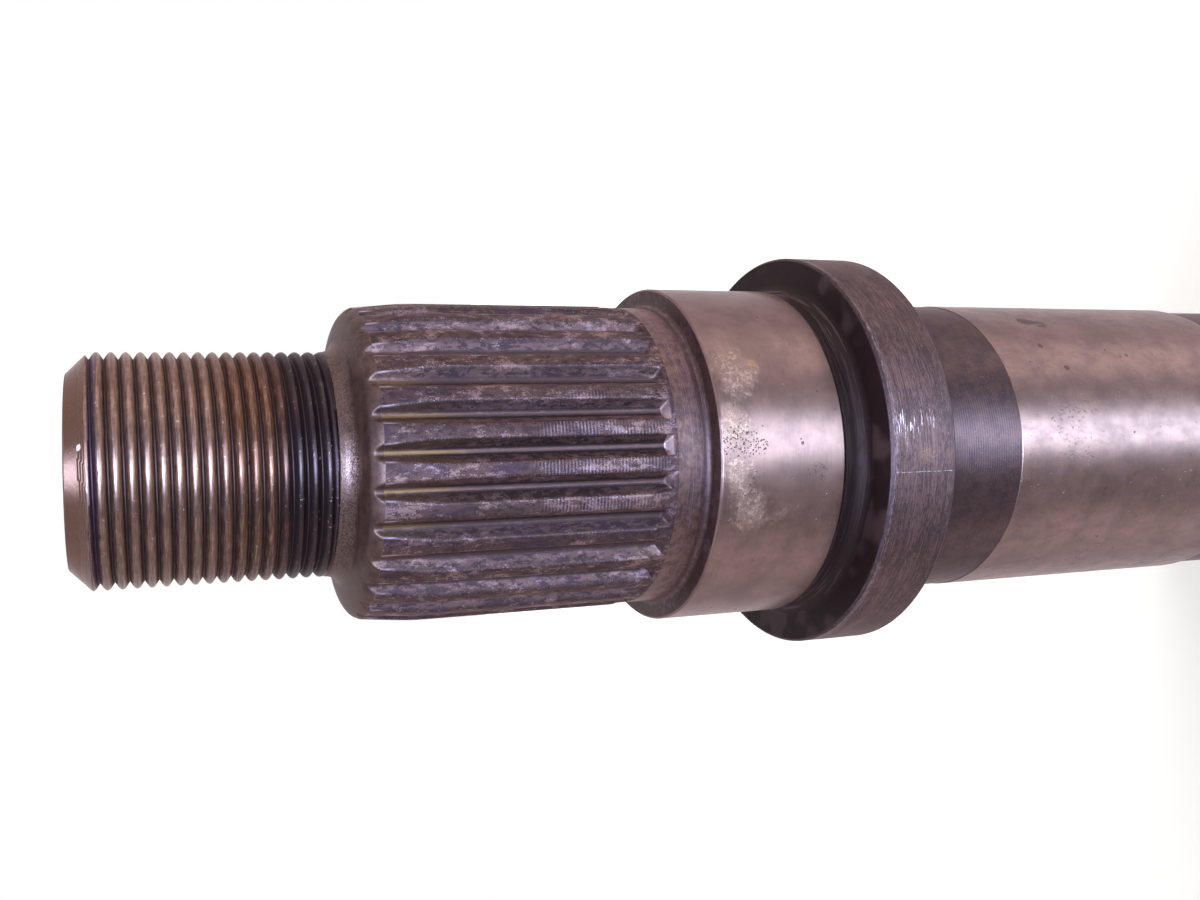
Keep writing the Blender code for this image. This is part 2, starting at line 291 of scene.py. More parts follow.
def make_mesh(name, points, parts, finishes, fields):
    """An object with those vertices and faces, shaded smooth. parts is a list of (faces, finish numbers)."""
    starts, totals, corners, numbers = [], [], [], []
    offset = 0
    for faces, finish in parts:
        count, sides = faces.shape
        starts.append(offset + sides * np.arange(count))
        totals.append(np.full(count, sides))
        corners.append(faces.ravel())
        numbers.append(np.broadcast_to(finish, count))
        offset += count * sides
    mesh = bpy.data.meshes.new(name)
    mesh.vertices.add(len(points))
    mesh.vertices.foreach_set("co", points.astype(np.float32).ravel())
    mesh.loops.add(offset)
    mesh.loops.foreach_set("vertex_index", np.concatenate(corners).astype(np.int32))
    mesh.polygons.add(sum(len(t) for t in totals))
    mesh.polygons.foreach_set("loop_start", np.concatenate(starts).astype(np.int32))
    mesh.polygons.foreach_set("loop_total", np.concatenate(totals).astype(np.int32))
    mesh.polygons.foreach_set("material_index", np.concatenate(numbers).astype(np.int32))
    mesh.update(calc_edges=True)
    for title, values in fields.items():
        attribute = mesh.attributes.new(title, "FLOAT", "POINT")
        attribute.data.foreach_set("value", values.astype(np.float32).ravel())
    mesh.validate()
    mesh.shade_smooth()
    for finish in finishes:
        mesh.materials.append(finish)
    piece = bpy.data.objects.new(name, mesh)
    bpy.context.scene.collection.objects.link(piece)
    return piece


def ring_points(radii, heights, angles):
    """Points at radius, height and angle: (r cos a, r sin a, z), broadcast to one grid."""
    radii, heights, angles = np.broadcast_arrays(radii, heights, angles)
    return np.stack([radii * np.cos(angles), radii * np.sin(angles), heights], axis=-1)


def involute(angle):
    """The involute function, tan(a) - a."""
    return np.tan(angle) - angle


def space_half_angle(radius):
    """Half the angle of a tooth space at a radius: its half width at the reference circle over that
    circle's radius, plus the involute function there minus that of the pressure angle."""
    pressure = np.arccos(BASE_RADIUS / radius)
    return SPACE_WIDTH / (2 * REFERENCE_RADIUS) - involute(PRESSURE_ANGLE) + involute(pressure)


def tooth_angles():
    """Column angles over all teeth, closer together on the flanks than on the lands and roots."""
    half_root, half_tip = space_half_angle(ROOT_RADIUS), space_half_angle(TIP_RADIUS)
    half_pitch = TAU / TEETH / 2
    shares = [0.0, 0.25, 0.70, 1.0]
    side = np.interp(np.arange(TOOTH_COLUMNS // 2 + 1) * 2 / TOOTH_COLUMNS, shares,
                     [0.0, half_root, half_tip * 1.04, half_pitch])
    one = np.concatenate([side[:-1], 2 * half_pitch - side[:0:-1]])
    return (one[None, :] + TAU / TEETH * np.arange(TEETH)[:, None]).ravel()


def space_floor(angles, heights):
    """Radius of the cut surface: two involute flanks joined by a hollow root, and a sloping end that
    rises from the root by the tangent of its angle for each step down. The root is hollow because
    the angle from the space's middle is replaced by sqrt(angle^2 + hollow^2) less a small shift."""
    radii = np.linspace(ROOT_RADIUS - 1.2 * MM, TIP_RADIUS + 2.0 * MM, 200)
    pitch = TAU / TEETH
    offset = (angles + pitch / 2) % pitch - pitch / 2
    hollow = ROOT_HOLLOW / ROOT_RADIUS
    rounded = np.sqrt(offset**2 + hollow**2) - ROOT_SHIFT / ROOT_RADIUS
    flank = np.interp(rounded, space_half_angle(radii), radii)
    section = smooth_high(flank, ROOT_RADIUS, ROOT_ROUNDING)
    end = TURNED_BAND_RADIUS + (SPACE_END - heights) * math.tan(SPACE_END_ANGLE)
    return smooth_high(section, end, END_ROUNDING)


def thread_radius(angles, heights):
    """Radius of the thread: crest radius minus depth times a rounded triangle wave of the phase
    height / pitch - angle / turn, so the crests climb one pitch a turn, right-handed. A sixth of
    the rounding is taken off, which brings the middle of a crest back to the crest radius. Below
    the first height of the fade there is no thread, and above the second it is whole."""
    phase = (heights - THREAD_PHASE_HEIGHT) / THREAD_PITCH - (angles - THREAD_PHASE_ANGLE) / TAU
    from_crest = np.abs(phase - np.round(phase))
    flank = (from_crest - CREST_HALF_WIDTH) / (ROOT_START - CREST_HALF_WIDTH)
    low = smooth_high(flank, 0.0, CREST_ROUNDING) - CREST_ROUNDING / 6
    wave = smooth_low(low, 1.0, ROOT_CREASE)
    fade = np.clip((heights - THREAD_FADE[0]) / (THREAD_FADE[1] - THREAD_FADE[0]), 0.0, 1.0)
    return CREST_RADIUS - THREAD_DEPTH * wave * fade * fade * (3 - 2 * fade)


def build_threaded_end(finishes):
    """The nut thread with its centre hole, end chamfer and neck, a height field on a closed grid.

    Rows in the thread are moved up or down to the nearest even share of a pitch, so that
    crests and roots run along vertices instead of crossing them.
    """
    end_radius = CREST_RADIUS - THREAD_CHAMFER
    step = THREAD_PITCH / ROWS_A_PITCH
    pilot_top = THREADED_END - CENTRE_CONE
    pilot_foot = pilot_top - CENTRE_DRILLED
    buried_radius = CREST_RADIUS - 0.3 * MM
    neck_top = NECK_FACE + NECK_FILLET
    sections = [
        (POLE_RADIUS, pilot_foot - CENTRE_TIP, 0.0, 2 * MM, 0),
        (CENTRE_PILOT, pilot_foot, 0.02 * MM, 1 * MM, 0),
        (CENTRE_PILOT, pilot_top, 0.05 * MM, 1 * MM, 0),
        (CENTRE_MOUTH, THREADED_END, 0.1 * MM, 1 * MM, 0),
        (end_radius, THREADED_END, 0.15 * MM, step, 0),
        (CREST_RADIUS, THREADED_END - THREAD_CHAMFER, 0.02 * MM, step, 0),
        (CREST_RADIUS, neck_top, 0.05 * MM, 0.5 * MM, 0),
        (buried_radius, neck_top - 0.3 * MM, 0.05 * MM, 1 * MM, 0),
        (buried_radius, NECK_FACE - 1.5 * MM, 0.0, 1 * MM, 0),
    ]
    rows, _ = profile_rows(sections)
    radii, heights = rows[:, 0:1], rows[:, 1:2]
    angles = np.arange(THREAD_COLUMNS)[None, :] * TAU / THREAD_COLUMNS
    lead = THREAD_PHASE_HEIGHT + THREAD_PITCH * (angles - THREAD_PHASE_ANGLE) / TAU
    snapped = lead + step * np.round((heights - lead) / step)
    in_thread = (heights > THREAD_FADE[0]) & (heights < THREAD_TOP)
    heights = np.where(in_thread, snapped, heights)
    outside = (heights > THREAD_FADE[0]) & (radii > end_radius)
    cone_radius = np.minimum(CREST_RADIUS, end_radius + THREADED_END - heights)
    blank = np.where(outside, cone_radius, radii)
    cut = smooth_low(blank, thread_radius(angles, heights), CHAMFER_CREASE)
    radii = np.where(outside, cut, radii)
    grid = ring_points(radii, heights, angles)
    count = len(rows)
    poles = np.array([[0.0, 0.0, rows[0, 1]], [0.0, 0.0, rows[-1, 1]]])
    points = np.concatenate([grid.reshape(-1, 3), poles])
    columns = THREAD_COLUMNS
    parts = [
        (helical_strips(0, count, columns), 0),
        (cap(0, count * columns, columns, True), 0),
        (cap((count - 1) * columns, count * columns + 1, columns, False), 0),
    ]
    depth = np.clip((CREST_RADIUS - radii) / THREAD_DEPTH, 0.0, 1.0) * outside
    phase = (heights - lead) / THREAD_PITCH
    fields = {
        "depth": np.append(depth.ravel(), [0.0, 0.0]),
        "phase": np.append((phase - np.round(phase)).ravel(), [0.0, 0.0]),
    }
    return make_mesh("threaded_end", points, parts, finishes, fields)


def round_corners(centre_radius, centre_height, radius, start, end, steps=12):
    """Corners of a round stretch of the profile, between two angles in degrees."""
    turn = np.radians(np.linspace(start, end, steps + 1))
    return list(zip(centre_radius + radius * np.cos(turn), centre_height + radius * np.sin(turn)))


def fillet(inner_radius, face_height, radius, steps=12):
    """Corners of the fillet between a cylinder and the face below it."""
    return round_corners(inner_radius + radius, face_height + radius, radius, 180.0, 270.0, steps)


def arc_sections(points, spacing, finish):
    """Sections for the corners of a round stretch, which is smooth enough without edge breaks."""
    return [(radius, height, 0.0, spacing, finish) for radius, height in points]


NOSE, SPLINED, TURNED, GROUND, RELIEF, RIM, BLACKENED, SHANK = range(8)


def shaft_sections():
    """Profile from the thread's neck down to the centre hole in the inner end.

    Straight parallel stretches have few rows. The lead, the nose and the run-outs of the tooth
    spaces have close ones, because the edge of the lands wanders there.
    """
    neck = fillet(CREST_RADIUS, NECK_FACE, NECK_FILLET)
    shoulder = fillet(TURNED_BAND_RADIUS, SHOULDER, SHOULDER_FILLET, 8)
    front = fillet(RELIEF_RADIUS, COLLAR_FACE, RELIEF_FILLET)
    back_centre = (BLACK_BAND_RADIUS + COLLAR_FILLET, COLLAR_BACK - COLLAR_FILLET)
    back = round_corners(*back_centre, COLLAR_FILLET, 90.0, 180.0)
    nose_end = math.radians(NOSE_END)
    nose_radius = LEAD_RADIUS - NOSE_ROUND * math.cos(nose_end)
    nose_height = NOSE_FOOT - NOSE_ROUND * math.sin(nose_end)
    nose = round_corners(nose_radius, nose_height, NOSE_ROUND, NOSE_TOP, NOSE_END, 16)
    return [
        *arc_sections(neck[:-2], 0.5 * MM, NOSE),
        (*neck[-1], NECK_BREAK, 0.5 * MM, NOSE),
        *arc_sections(nose[:-2], 0.5 * MM, NOSE),
        (LEAD_RADIUS, NOSE_FOOT, 0.1 * MM, 1.2 * MM, SPLINED),
        (TIP_RADIUS, LEAD_FOOT, 2.0 * MM, 8 * MM, SPLINED),
        (TIP_RADIUS, SPLINE_FOOT + SPLINE_FOOT_CHAMFER, 0.2 * MM, 0.14 * MM, SPLINED),
        (TURNED_BAND_RADIUS, SPLINE_FOOT, 0.2 * MM, 0.14 * MM, SPLINED),
        (TURNED_BAND_RADIUS, TOOTHED_FOOT, 0.0, 1.2 * MM, TURNED),
        *arc_sections(shoulder, 0.6 * MM, TURNED),
        (SEAT_RADIUS - SEAT_CHAMFER, SHOULDER, 0.06 * MM, 0.3 * MM, GROUND),
        (SEAT_RADIUS, SHOULDER - SEAT_CHAMFER, 0.08 * MM, 5 * MM, GROUND),
        (SEAT_RADIUS, SEAT_FOOT, 0.1 * MM, 0.5 * MM, RELIEF),
        (RELIEF_RADIUS, SEAT_FOOT - RELIEF_STEP, 0.1 * MM, 0.5 * MM, RELIEF),
        *arc_sections(front, 0.8 * MM, RELIEF),
        (COLLAR_RADIUS - COLLAR_CHAMFER, COLLAR_FACE, 0.08 * MM, 0.4 * MM, RIM),
        (COLLAR_RADIUS, COLLAR_FACE - COLLAR_CHAMFER, 0.1 * MM, 4 * MM, RIM),
        (COLLAR_RADIUS, COLLAR_BACK + COLLAR_CHAMFER, 0.15 * MM, 0.3 * MM, RIM),
        (COLLAR_RADIUS - COLLAR_CHAMFER, COLLAR_BACK, 0.1 * MM, 2 * MM, BLACKENED),
        *arc_sections(back, 8 * MM, BLACKENED),
        (BLACK_BAND_RADIUS, BAND_FOOT + BAND_STEP, 0.04 * MM, 0.1 * MM, GROUND),
        (JOURNAL_RADIUS, BAND_FOOT, 0.05 * MM, 12 * MM, GROUND),
        (JOURNAL_RADIUS, JOURNAL_FOOT, 0.3 * MM, 0.6 * MM, SHANK),
        (SHANK_RADIUS, TAPER_FOOT, 0.3 * MM, 8 * MM, SHANK),
        (SHANK_RADIUS, INNER_CHAMFER, 0.25 * MM, 0.6 * MM, SHANK),
        (SHANK_RADIUS - INNER_CHAMFER, 0.0, 0.2 * MM, 6 * MM, SHANK),
        (CENTRE_MOUTH, 0.0, 0.1 * MM, 2 * MM, SHANK),
        (CENTRE_PILOT, CENTRE_CONE, 0.05 * MM, 2 * MM, SHANK),
        (CENTRE_PILOT, CENTRE_CONE + CENTRE_DRILLED, 0.02 * MM, 2 * MM, SHANK),
        (POLE_RADIUS, CENTRE_CONE + CENTRE_DRILLED + CENTRE_TIP, 0.0, 1 * MM, SHANK),
    ]


def build_shaft_body(finishes):
    """Spline, seat, collar and journal in one closed surface.

    The radius of a point between the teeth's ends is the lower of the turned profile and the cut
    surface, with a slightly rounded land edge. The toothed rings have all columns, and the plain
    ones every fourth column, with one ring of every second column where the two meet.
    """
    rows, row_finishes = profile_rows(shaft_sections())
    toothed = np.flatnonzero((rows[:, 0] > TOOTHED_RADIUS) & (rows[:, 1] > TOOTHED_FOOT - 0.01 * MM))
    skips = np.full(len(rows), PLAIN_SKIP)
    skips[toothed[0] - 1 : toothed[-1] + 2] = PLAIN_SKIP // 2
    skips[toothed] = 1
    pitch = TAU / TEETH
    points, parts, fields = [], [], {"depth": [], "aside": [], "edge": []}
    first = columns_above = 0
    for run in np.split(np.arange(len(rows)), np.flatnonzero(np.diff(skips)) + 1):
        angles = tooth_angles()[None, :: skips[run[0]]]
        blank, heights = rows[run, 0:1], rows[run, 1:2]
        cut = smooth_low(blank, space_floor(angles, heights), LAND_ROUNDING)
        radii = np.where(skips[run[0]] == 1, cut, blank)
        grid = ring_points(radii, heights, angles)
        columns = angles.size
        last_above = first - columns_above
        if columns_above > columns:
            parts.append((halving_strip(last_above, first, columns), row_finishes[run[0] - 1]))
        elif columns_above:
            join = halving_strip(first, last_above, columns_above)[:, ::-1]
            parts.append((join, row_finishes[run[0] - 1]))
        if len(run) > 1:
            kinds = np.repeat(row_finishes[run[0] : run[-1]], columns)
            parts.append((strips(first, len(run), columns), kinds))
        points.append(grid.reshape(-1, 3))
        fields["depth"].append(np.clip((blank - radii) / TOOTH_DEPTH, 0.0, 1.0).ravel())
        fields["aside"].append((np.abs((angles + pitch / 2) % pitch - pitch / 2) * radii / MM).ravel())
        fields["edge"].append(edge_amount(grid).ravel() / MM)
        first += grid[..., 0].size
        columns_above = columns
    points.append([[0.0, 0.0, rows[0, 1]], [0.0, 0.0, rows[-1, 1]]])
    parts.append((cap(0, first, columns, True), NOSE))
    parts.append((cap(first - columns, first + 1, columns, False), SHANK))
    fields = {name: np.concatenate([*values, [0.0, 0.0]]) for name, values in fields.items()}
    return make_mesh("shaft_body", np.concatenate(points), parts, finishes, fields)


class Field:
    """A value that varies over a surface. Arithmetic on it adds the Math nodes that work it out."""

    def __init__(self, finish, socket):
        self.finish = finish
        self.socket = socket

    def worked(self, operation, *values):
        """The Math node of that operation on those values."""
        return self.finish.node("ShaderNodeMath", {"operation": operation}, dict(enumerate(values)))

    def __add__(self, other):
        return self.worked("ADD", self, other)

    def __radd__(self, other):
        return self.worked("ADD", other, self)

    def __sub__(self, other):
        return self.worked("SUBTRACT", self, other)

    def __rsub__(self, other):
        return self.worked("SUBTRACT", other, self)

    def __mul__(self, other):
        return self.worked("MULTIPLY", self, other)

    def __rmul__(self, other):
        return self.worked("MULTIPLY", other, self)


class Finish:
    """One steel finish: a material with its nodes, and the patterns that they share."""

    def __init__(self, name):
        self.material = bpy.data.materials.new(name)
        self.material.use_nodes = True
        self.tree = self.material.node_tree
        self.tree.nodes.clear()
        self.place = self.node("ShaderNodeTexCoord", output="Object")
        split = ["ShaderNodeSeparateXYZ", {}, {"Vector": self.place}]
        self.x, self.y, self.z = [self.node(*split, output=axis) for axis in "XYZ"]

    def node(self, kind, settings=None, values=None, output=0):
        """Adds a node: its settings first, then its sockets' values or links. Returns one output."""
        made = self.tree.nodes.new(kind)
        for name, value in (settings or {}).items():
            setattr(made, name, value)
        for key, value in (values or {}).items():
            if isinstance(value, Field):
                self.tree.links.new(value.socket, made.inputs[key])
            else:
                made.inputs[key].default_value = value
        return Field(self, made.outputs[output])

    def end(self, shader):
        """Joins a shader to the material's output."""
        output = self.tree.nodes.new("ShaderNodeOutputMaterial")
        self.tree.links.new(shader.socket, output.inputs["Surface"])

    def spread(self, scale, shift):
        """The place on the piece times a scale for each axis, moved so that patterns differ."""
        values = {"Vector": self.place, "Location": (shift, shift * 2, shift * 3), "Scale": scale}
        return self.node("ShaderNodeMapping", {"vector_type": "POINT"}, values)

    def noise(self, size, stretch=(1.0, 1.0, 1.0), detail=3.0, roughness=0.55, shift=0.0):
        """Noise from 0 to 1 with features of that size, drawn out where stretch is below 1."""
        spread = self.spread([s / size for s in stretch], shift)
        values = {"Vector": spread, "Scale": 1.0, "Detail": detail, "Roughness": roughness}
        return self.node("ShaderNodeTexNoise", {"normalize": True}, values, "Fac")

    def between(self, value, low, high):
        """0 below low, 1 above high and a smooth step from one to the other."""
        values = {"Value": value, "From Min": low, "From Max": high}
        return self.node("ShaderNodeMapRange", {"interpolation_type": "SMOOTHSTEP"}, values)

    def band(self, value, low, high, soft):
        """1 between two values, falling to 0 over a soft margin outside them."""
        return self.between(value, low - soft, low) * (1.0 - self.between(value, high, high + soft))

    def dots(self, spacing, radius, share, ragged=0.3, shift=0.0):
        """1 inside dots strewn over the surface. A dot is what lies within a radius, in spacings, of a
        point of a jittered grid whose own random number is below the share. Noise makes it ragged."""
        spread = self.spread([1.0 / spacing] * 3, shift)
        wobble = self.node("ShaderNodeTexNoise", {}, {"Vector": spread, "Scale": 3.0}, "Color")
        values = {0: wobble, 1: (ragged, ragged, ragged), 2: spread}
        moved = self.node("ShaderNodeVectorMath", {"operation": "MULTIPLY_ADD"}, values)
        away = self.node("ShaderNodeTexVoronoi", {}, {"Vector": moved, "Scale": 1.0}, "Distance")
        own = Field(self, away.socket.node.outputs["Color"])
        number = self.node("ShaderNodeSeparateColor", {}, {"Color": own}, "Red")
        chosen = 1.0 - self.between(number, share, share + 0.02)
        return (1.0 - self.between(away, radius * 0.6, radius)) * chosen

    def near(self, angle, radius, height, reach):
        """1 at a point of the surface, falling to 0 at that distance from it. The angle is in degrees
        from the side that faces the camera."""
        turn = CAMERA_AZIMUTH + math.radians(angle)
        point = (radius * math.cos(turn), radius * math.sin(turn), height)
        values = {0: self.place, 1: point}
        away = self.node("ShaderNodeVectorMath", {"operation": "DISTANCE"}, values, "Value")
        return 1.0 - self.between(away, 0.0, reach)

    def mix(self, share, first, second):
        """A colour between two colours."""
        return self.node("ShaderNodeMix", {"data_type": "RGBA"}, {0: share, 6: first, 7: second}, 2)

    def attribute(self, name):
        """A number stored on the mesh's vertices."""
        return self.node("ShaderNodeAttribute", {"attribute_name": name}, output="Fac")

    def ripple(self, spacing, wander):
        """Turning marks: a sine of the height with that spacing, from 0 to 1, slightly wandering."""
        turns = self.z * (TAU / spacing) + self.noise(4 * MM, (0.3, 0.3, 1.0), 1.0) * wander
        return turns.worked("SINE", turns) * 0.5 + 0.5

    def bump(self, height, distance, under=None):
        """A Bump node on that height, with an optional bump below it."""
        values = {"Height": height, "Distance": distance, "Strength": 1.0}
        if under is not None:
            values["Normal"] = under
        return self.node("ShaderNodeBump", {}, values)

    def steel(self, colour, roughness, normal, metallic=0.6, edge_tint=EDGE_TINT, shine=0.5, film=0.0):
        """Ends the material with a steel shader. The edge tint colours what it mirrors at a slant, shine
        is how much its matt share mirrors, and film is the share of a clear coat of oil."""
        values = {
            "Specular IOR Level": shine,
            "Coat Weight": film,
            "Coat Roughness": FILM_ROUGHNESS,
            "Base Color": colour,
            "Roughness": roughness,
            "Normal": normal,
            "Metallic": metallic,
            "Specular Tint": edge_tint,
        }
        self.end(self.node("ShaderNodeBsdfPrincipled", {}, values))
        return self.material


def rgb(red, green, blue):
    """A linear colour from the 0 to 255 values that a picture shows."""
    channels = np.array([red, green, blue]) / 255.0
    linear = np.where(channels <= 0.04045, channels / 12.92, ((channels + 0.055) / 1.055) ** 2.4)
    return (*linear.tolist(), 1.0)


def ground_steel():
    """Ground bearing steel: close grinding lines, a crust and rust pits at the shoulder, dark specks."""
    f = Finish("ground_steel")
    grinding = f.noise(0.12 * MM, (0.03, 0.03, 1.0), 3.0)
    cloud = f.noise(5 * MM, detail=5.0, roughness=0.6)
    blotch = f.noise(1.6 * MM, (1.0, 1.0, 0.5), 7.0, 0.68, 3.6)
    grain = f.noise(0.4 * MM, detail=3.0, shift=1.7)
    crumbs = f.noise(0.22 * MM, detail=3.0, roughness=0.6, shift=4.9)
    flakes = f.noise(0.75 * MM, detail=6.0, roughness=0.72, shift=2.6)
    seat = (
        f.near(26.0, SEAT_RADIUS, 121.4 * MM, 6.5 * MM)
        + f.near(8.0, SEAT_RADIUS, 122.6 * MM, 4.6 * MM)
        + f.near(-7.0, SEAT_RADIUS, 122.4 * MM, 4.4 * MM)
        + f.near(-20.0, SEAT_RADIUS, 120.4 * MM, 5.5 * MM) * 0.9
        + f.near(-19.0, SEAT_RADIUS, 114.5 * MM, 4.0 * MM) * 0.45
    )
    crust = f.between(seat * 0.8 + f.noise(1.9 * MM, detail=6.0, roughness=0.7) * 1.5, 0.95, 1.45)
    pitted = (
        f.near(3.0, SEAT_RADIUS, 122.0 * MM, 4.4 * MM)
        + f.near(1.0, SEAT_RADIUS, 118.6 * MM, 1.6 * MM) * 0.7
        + f.near(-6.8, SEAT_RADIUS, 110.2 * MM, 2.6 * MM)
        + f.near(-12.0, SEAT_RADIUS, 120.0 * MM, 3.0 * MM) * 0.5
    )
    strewn = f.between(pitted + (blotch - 0.5) * 1.2, 0.1, 0.9)
    pits = f.dots(0.62 * MM, 0.46, strewn * 0.5, 0.7) + f.dots(0.34 * MM, 0.42, strewn * 0.7, 0.6, 2.3)
    pits = f.between(pits, 0.1, 1.0)
    lone = f.between(f.near(1.8, SEAT_RADIUS, 112.5 * MM, 0.36 * MM) + crumbs * 0.3, 0.4, 0.62)
    smudge = f.between(
        f.near(57.0, JOURNAL_RADIUS, 62.4 * MM, 2.4 * MM)
        + f.near(55.0, JOURNAL_RADIUS, 60.0 * MM, 2.4 * MM)
        + f.near(40.0, JOURNAL_RADIUS, 64.1 * MM, 0.9 * MM)
        + f.near(29.0, JOURNAL_RADIUS, 61.5 * MM, 0.9 * MM)
        + f.near(35.0, JOURNAL_RADIUS, 48.0 * MM, 0.7 * MM)
        + grain * 0.6,
        0.62,
        0.95,
    )
    journal = 1.0 - f.between(f.z, 80 * MM, 90 * MM)
    wear_and_painted_highlight = f.near(4.0, JOURNAL_RADIUS, 63.5 * MM, 9.0 * MM) + (blotch - 0.5) * 1.4
    specks = f.dots(0.5 * MM, 0.42, f.between(wear_and_painted_highlight, 0.1, 0.9) * 0.45 + 0.012, 0.7, 4.1) * journal
    ochre = f.near(28.5, SEAT_RADIUS, 118.2 * MM, 0.9 * MM)
    ochre = f.between(ochre + crumbs * 0.5, 0.5, 0.85) * (1.0 - f.between(ochre, 0.45, 0.8) * 0.6)
    colour = f.mix(f.between(cloud, 0.35, 0.65), rgb(82, 62, 61), rgb(99, 76, 74))
    colour = f.mix(f.between(blotch, 0.46, 0.62) * (journal * 0.16 + 0.12), colour, rgb(64, 45, 46))
    colour = f.mix(f.between(grinding, 0.45, 0.62) * 0.03, colour, rgb(160, 140, 150))
    colour = f.mix(crust * 0.28, colour, rgb(128, 103, 92))
    colour = f.mix(crust * f.between(flakes, 0.48, 0.62) * 0.5, colour, rgb(152, 128, 118))
    colour = f.mix(crust * f.between(crumbs, 0.54, 0.64) * 0.6, colour, rgb(70, 46, 38))
    colour = f.mix(specks * 0.4, colour, rgb(54, 36, 34))
    colour = f.mix(smudge * f.between(blotch, 0.36, 0.5) * 0.85, colour, rgb(48, 31, 26))
    colour = f.mix(f.between(pits + lone, 0.0, 1.0) * 0.8, colour, rgb(58, 36, 30))
    colour = f.mix(ochre * 0.5, colour, rgb(150, 108, 52))
    dull = crust * 0.14 + pits * 0.2 + lone * 0.2 + specks * 0.14 + smudge * 0.1
    roughness = 0.22 + grinding * 0.07 + blotch * (journal * 0.18 + 0.12) - journal * 0.08 + dull
    normal = f.bump(flakes * crust * 0.8 - pits - lone - specks * 0.4, 0.04 * MM)
    return f.steel(colour, roughness, normal, 0.6, (0.8, 0.68, 0.74, 1.0))


def nose_steel():
    """The bare cut steel of the neck and the nose of the spline: plain brown, with dark pits and a painted
    highlight beside the thread, broken up by grain.
    """
    f = Finish("nose_steel")
    rings = f.noise(0.3 * MM, (0.04, 0.04, 1.0), 2.0)
    patch = f.noise(1.4 * MM, detail=6.0, roughness=0.65, shift=3.7)
    grain = f.noise(0.25 * MM, detail=3.0, shift=6.3)
    neck = f.between(f.z, 171.6 * MM, 172.2 * MM)
    pits = f.between(grain + neck * 0.08, 0.62, 0.70)
    colour = f.mix(f.between(patch, 0.38, 0.62), rgb(48, 32, 29), rgb(68, 48, 43))
    colour = f.mix(pits * 0.5, colour, rgb(42, 27, 25))
    colour = f.mix(neck * f.between(grain, 0.45, 0.6) * 0.3, colour, rgb(104, 82, 76))
    # Painted highlight: a pale, pitted spot on the neck beside the thread, where the lamps' highlight falls.
    wear_and_painted_highlight = f.near(-1.0, CREST_RADIUS + MM, 172.4 * MM, 5.0 * MM)
    wear_and_painted_highlight = wear_and_painted_highlight * f.band(f.z, 171.9 * MM, 173.0 * MM, 0.4 * MM)
    colour = f.mix(wear_and_painted_highlight * f.between(grain, 0.40, 0.60) * 0.6, colour, rgb(160, 136, 138))
    normal = f.bump(rings * 0.5 + patch - pits, 0.03 * MM)
    return f.steel(colour, 0.38 + patch * 0.14 - neck * 0.06, normal, metallic=0.5)


